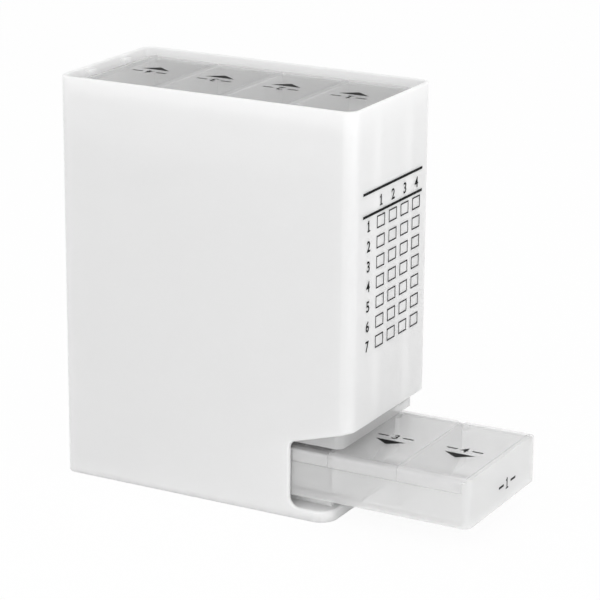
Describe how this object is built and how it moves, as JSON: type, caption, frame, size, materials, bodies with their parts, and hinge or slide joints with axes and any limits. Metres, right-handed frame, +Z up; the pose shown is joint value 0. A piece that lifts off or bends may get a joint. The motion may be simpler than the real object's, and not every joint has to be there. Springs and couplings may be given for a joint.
{
  "type": "pill organizer",
  "caption": "Upright week pill organizer: a case with an end window that feeds out a stack of day trays with hinged compartment lids.",
  "frame": {"origin": "centre of the rectangle of the case's walls, on the plane it stands on", "axes": "+X along the case towards the window that the lowest tray slides out of, +Y towards the case's back wide wall, +Z up"},
  "size_m": [0.1655, 0.061, 0.1508],
  "materials": {
    "case": "semi-gloss white moulded plastic",
    "tray": "milky translucent moulded polypropylene",
    "lid": "milky translucent moulded polypropylene"
  },
  "bodies": {
    "case": {"case": "case"},
    "day_1_tray": {"day_1_tray": "tray"},
    "day_1_lid_morning": {"day_1_lid_morning": "lid"},
    "day_1_lid_noon": {"day_1_lid_noon": "lid"},
    "day_1_lid_evening": {"day_1_lid_evening": "lid"},
    "day_1_lid_night": {"day_1_lid_night": "lid"},
    "day_2_tray": {"day_2_tray": "tray"},
    "day_2_lid_morning": {"day_2_lid_morning": "lid"},
    "day_2_lid_noon": {"day_2_lid_noon": "lid"},
    "day_2_lid_evening": {"day_2_lid_evening": "lid"},
    "day_2_lid_night": {"day_2_lid_night": "lid"},
    "day_3_tray": {"day_3_tray": "tray"},
    "day_3_lid_morning": {"day_3_lid_morning": "lid"},
    "day_3_lid_noon": {"day_3_lid_noon": "lid"},
    "day_3_lid_evening": {"day_3_lid_evening": "lid"},
    "day_3_lid_night": {"day_3_lid_night": "lid"},
    "day_4_tray": {"day_4_tray": "tray"},
    "day_4_lid_morning": {"day_4_lid_morning": "lid"},
    "day_4_lid_noon": {"day_4_lid_noon": "lid"},
    "day_4_lid_evening": {"day_4_lid_evening": "lid"},
    "day_4_lid_night": {"day_4_lid_night": "lid"},
    "day_5_tray": {"day_5_tray": "tray"},
    "day_5_lid_morning": {"day_5_lid_morning": "lid"},
    "day_5_lid_noon": {"day_5_lid_noon": "lid"},
    "day_5_lid_evening": {"day_5_lid_evening": "lid"},
    "day_5_lid_night": {"day_5_lid_night": "lid"},
    "day_6_tray": {"day_6_tray": "tray"},
    "day_6_lid_morning": {"day_6_lid_morning": "lid"},
    "day_6_lid_noon": {"day_6_lid_noon": "lid"},
    "day_6_lid_evening": {"day_6_lid_evening": "lid"},
    "day_6_lid_night": {"day_6_lid_night": "lid"},
    "day_7_tray": {"day_7_tray": "tray"},
    "day_7_lid_morning": {"day_7_lid_morning": "lid"},
    "day_7_lid_noon": {"day_7_lid_noon": "lid"},
    "day_7_lid_evening": {"day_7_lid_evening": "lid"},
    "day_7_lid_night": {"day_7_lid_night": "lid"}
  },
  "joints": [
    {"name": "day_1_tray_slide", "type": "slide", "parent": "case", "child": "day_1_tray", "axis": [1, 0, 0], "range_m": [-0.05, 0.07]},
    {"name": "day_2_tray_lift", "type": "slide", "parent": "case", "child": "day_2_tray", "axis": [0, 0, 1], "range_m": [0, 0.16]},
    {"name": "day_3_tray_lift", "type": "slide", "parent": "day_2_tray", "child": "day_3_tray", "axis": [0, 0, 1], "range_m": [0, 0.16]},
    {"name": "day_4_tray_lift", "type": "slide", "parent": "day_3_tray", "child": "day_4_tray", "axis": [0, 0, 1], "range_m": [0, 0.16]},
    {"name": "day_5_tray_lift", "type": "slide", "parent": "day_4_tray", "child": "day_5_tray", "axis": [0, 0, 1], "range_m": [0, 0.16]},
    {"name": "day_6_tray_lift", "type": "slide", "parent": "day_5_tray", "child": "day_6_tray", "axis": [0, 0, 1], "range_m": [0, 0.16]},
    {"name": "day_7_tray_lift", "type": "slide", "parent": "day_6_tray", "child": "day_7_tray", "axis": [0, 0, 1], "range_m": [0, 0.16]},
    {"name": "day_1_lid_morning_hinge", "type": "hinge", "parent": "day_1_tray", "child": "day_1_lid_morning", "pos_m": [0.00898, 0.0253, 0.0245], "axis": [-1, 0, 0], "range_deg": [0, 88]},
    {"name": "day_1_lid_noon_hinge", "type": "hinge", "parent": "day_1_tray", "child": "day_1_lid_noon", "pos_m": [0.03633, 0.0253, 0.0245], "axis": [-1, 0, 0], "range_deg": [0, 88]},
    {"name": "day_1_lid_evening_hinge", "type": "hinge", "parent": "day_1_tray", "child": "day_1_lid_evening", "pos_m": [0.06367, 0.0253, 0.0245], "axis": [-1, 0, 0], "range_deg": [0, 8.5]},
    {"name": "day_1_lid_night_hinge", "type": "hinge", "parent": "day_1_tray", "child": "day_1_lid_night", "pos_m": [0.09102, 0.0253, 0.0245], "axis": [-1, 0, 0], "range_deg": [0, 103]},
    {"name": "day_2_lid_morning_hinge", "type": "hinge", "parent": "day_2_tray", "child": "day_2_lid_morning", "pos_m": [-0.04102, 0.0253, 0.0448], "axis": [-1, 0, 0], "range_deg": [0, 88]},
    {"name": "day_2_lid_noon_hinge", "type": "hinge", "parent": "day_2_tray", "child": "day_2_lid_noon", "pos_m": [-0.01367, 0.0253, 0.0448], "axis": [-1, 0, 0], "range_deg": [0, 88]},
    {"name": "day_2_lid_evening_hinge", "type": "hinge", "parent": "day_2_tray", "child": "day_2_lid_evening", "pos_m": [0.01367, 0.0253, 0.0448], "axis": [-1, 0, 0], "range_deg": [0, 88]},
    {"name": "day_2_lid_night_hinge", "type": "hinge", "parent": "day_2_tray", "child": "day_2_lid_night", "pos_m": [0.04102, 0.0253, 0.0448], "axis": [-1, 0, 0], "range_deg": [0, 88]},
    {"name": "day_3_lid_morning_hinge", "type": "hinge", "parent": "day_3_tray", "child": "day_3_lid_morning", "pos_m": [-0.04102, 0.0253, 0.0651], "axis": [-1, 0, 0], "range_deg": [0, 88]},
    {"name": "day_3_lid_noon_hinge", "type": "hinge", "parent": "day_3_tray", "child": "day_3_lid_noon", "pos_m": [-0.01367, 0.0253, 0.0651], "axis": [-1, 0, 0], "range_deg": [0, 88]},
    {"name": "day_3_lid_evening_hinge", "type": "hinge", "parent": "day_3_tray", "child": "day_3_lid_evening", "pos_m": [0.01367, 0.0253, 0.0651], "axis": [-1, 0, 0], "range_deg": [0, 88]},
    {"name": "day_3_lid_night_hinge", "type": "hinge", "parent": "day_3_tray", "child": "day_3_lid_night", "pos_m": [0.04102, 0.0253, 0.0651], "axis": [-1, 0, 0], "range_deg": [0, 88]},
    {"name": "day_4_lid_morning_hinge", "type": "hinge", "parent": "day_4_tray", "child": "day_4_lid_morning", "pos_m": [-0.04102, 0.0253, 0.0854], "axis": [-1, 0, 0], "range_deg": [0, 88]},
    {"name": "day_4_lid_noon_hinge", "type": "hinge", "parent": "day_4_tray", "child": "day_4_lid_noon", "pos_m": [-0.01367, 0.0253, 0.0854], "axis": [-1, 0, 0], "range_deg": [0, 88]},
    {"name": "day_4_lid_evening_hinge", "type": "hinge", "parent": "day_4_tray", "child": "day_4_lid_evening", "pos_m": [0.01367, 0.0253, 0.0854], "axis": [-1, 0, 0], "range_deg": [0, 88]},
    {"name": "day_4_lid_night_hinge", "type": "hinge", "parent": "day_4_tray", "child": "day_4_lid_night", "pos_m": [0.04102, 0.0253, 0.0854], "axis": [-1, 0, 0], "range_deg": [0, 88]},
    {"name": "day_5_lid_morning_hinge", "type": "hinge", "parent": "day_5_tray", "child": "day_5_lid_morning", "pos_m": [-0.04102, 0.0253, 0.1057], "axis": [-1, 0, 0], "range_deg": [0, 88]},
    {"name": "day_5_lid_noon_hinge", "type": "hinge", "parent": "day_5_tray", "child": "day_5_lid_noon", "pos_m": [-0.01367, 0.0253, 0.1057], "axis": [-1, 0, 0], "range_deg": [0, 88]},
    {"name": "day_5_lid_evening_hinge", "type": "hinge", "parent": "day_5_tray", "child": "day_5_lid_evening", "pos_m": [0.01367, 0.0253, 0.1057], "axis": [-1, 0, 0], "range_deg": [0, 88]},
    {"name": "day_5_lid_night_hinge", "type": "hinge", "parent": "day_5_tray", "child": "day_5_lid_night", "pos_m": [0.04102, 0.0253, 0.1057], "axis": [-1, 0, 0], "range_deg": [0, 88]},
    {"name": "day_6_lid_morning_hinge", "type": "hinge", "parent": "day_6_tray", "child": "day_6_lid_morning", "pos_m": [-0.04102, 0.0253, 0.126], "axis": [-1, 0, 0], "range_deg": [0, 88]},
    {"name": "day_6_lid_noon_hinge", "type": "hinge", "parent": "day_6_tray", "child": "day_6_lid_noon", "pos_m": [-0.01367, 0.0253, 0.126], "axis": [-1, 0, 0], "range_deg": [0, 88]},
    {"name": "day_6_lid_evening_hinge", "type": "hinge", "parent": "day_6_tray", "child": "day_6_lid_evening", "pos_m": [0.01367, 0.0253, 0.126], "axis": [-1, 0, 0], "range_deg": [0, 88]},
    {"name": "day_6_lid_night_hinge", "type": "hinge", "parent": "day_6_tray", "child": "day_6_lid_night", "pos_m": [0.04102, 0.0253, 0.126], "axis": [-1, 0, 0], "range_deg": [0, 88]},
    {"name": "day_7_lid_morning_hinge", "type": "hinge", "parent": "day_7_tray", "child": "day_7_lid_morning", "pos_m": [0.04102, -0.0253, 0.1463], "axis": [1, 0, 0], "range_deg": [0, 103]},
    {"name": "day_7_lid_noon_hinge", "type": "hinge", "parent": "day_7_tray", "child": "day_7_lid_noon", "pos_m": [0.01367, -0.0253, 0.1463], "axis": [1, 0, 0], "range_deg": [0, 103]},
    {"name": "day_7_lid_evening_hinge", "type": "hinge", "parent": "day_7_tray", "child": "day_7_lid_evening", "pos_m": [-0.01367, -0.0253, 0.1463], "axis": [1, 0, 0], "range_deg": [0, 103]},
    {"name": "day_7_lid_night_hinge", "type": "hinge", "parent": "day_7_tray", "child": "day_7_lid_night", "pos_m": [-0.04102, -0.0253, 0.1463], "axis": [1, 0, 0], "range_deg": [0, 103]}
  ],
  "couplings": [
    {"joint": "day_1_lid_morning_hinge", "follows": "day_2_tray_lift", "rad_per_m": 9.5897},
    {"joint": "day_1_lid_noon_hinge", "follows": "day_2_tray_lift", "rad_per_m": 9.5897},
    {"joint": "day_1_lid_evening_hinge", "follows": "day_2_tray_lift", "rad_per_m": 0.9263},
    {"joint": "day_2_lid_morning_hinge", "follows": "day_3_tray_lift", "rad_per_m": 9.5897},
    {"joint": "day_2_lid_noon_hinge", "follows": "day_3_tray_lift", "rad_per_m": 9.5897},
    {"joint": "day_2_lid_evening_hinge", "follows": "day_3_tray_lift", "rad_per_m": 9.5897},
    {"joint": "day_2_lid_night_hinge", "follows": "day_3_tray_lift", "rad_per_m": 9.5897},
    {"joint": "day_3_lid_morning_hinge", "follows": "day_4_tray_lift", "rad_per_m": 9.5897},
    {"joint": "day_3_lid_noon_hinge", "follows": "day_4_tray_lift", "rad_per_m": 9.5897},
    {"joint": "day_3_lid_evening_hinge", "follows": "day_4_tray_lift", "rad_per_m": 9.5897},
    {"joint": "day_3_lid_night_hinge", "follows": "day_4_tray_lift", "rad_per_m": 9.5897},
    {"joint": "day_4_lid_morning_hinge", "follows": "day_5_tray_lift", "rad_per_m": 9.5897},
    {"joint": "day_4_lid_noon_hinge", "follows": "day_5_tray_lift", "rad_per_m": 9.5897},
    {"joint": "day_4_lid_evening_hinge", "follows": "day_5_tray_lift", "rad_per_m": 9.5897},
    {"joint": "day_4_lid_night_hinge", "follows": "day_5_tray_lift", "rad_per_m": 9.5897},
    {"joint": "day_5_lid_morning_hinge", "follows": "day_6_tray_lift", "rad_per_m": 9.5897},
    {"joint": "day_5_lid_noon_hinge", "follows": "day_6_tray_lift", "rad_per_m": 9.5897},
    {"joint": "day_5_lid_evening_hinge", "follows": "day_6_tray_lift", "rad_per_m": 9.5897},
    {"joint": "day_5_lid_night_hinge", "follows": "day_6_tray_lift", "rad_per_m": 9.5897},
    {"joint": "day_6_lid_morning_hinge", "follows": "day_7_tray_lift", "rad_per_m": 9.5897},
    {"joint": "day_6_lid_noon_hinge", "follows": "day_7_tray_lift", "rad_per_m": 9.5897},
    {"joint": "day_6_lid_evening_hinge", "follows": "day_7_tray_lift", "rad_per_m": 9.5897},
    {"joint": "day_6_lid_night_hinge", "follows": "day_7_tray_lift", "rad_per_m": 9.5897}
  ]
}
